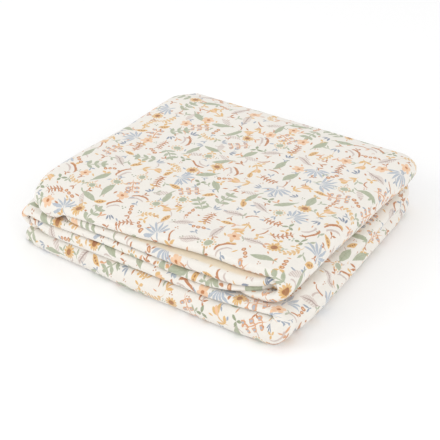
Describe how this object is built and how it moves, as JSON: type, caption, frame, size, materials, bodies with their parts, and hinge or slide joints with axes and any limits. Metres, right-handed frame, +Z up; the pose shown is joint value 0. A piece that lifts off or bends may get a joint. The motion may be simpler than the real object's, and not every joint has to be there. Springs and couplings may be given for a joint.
{
  "type": "folded crib blanket",
  "caption": "Soft fleece crib blanket folded into a flat square bundle, with rounded fold edges and a scattered leaf and flower print.",
  "frame": {"origin": "on the surface it lies on, under the middle of the folded blanket", "axes": "+X along the long side, +Y from the front lips to the back, +Z up"},
  "size_m": [0.3474, 0.3228, 0.0784],
  "materials": {
    "fleece": "soft warm white fleece with a small scattered print"
  },
  "bodies": {
    "root": {"blanket_cloth": "fleece"}
  },
  "joints": []
}
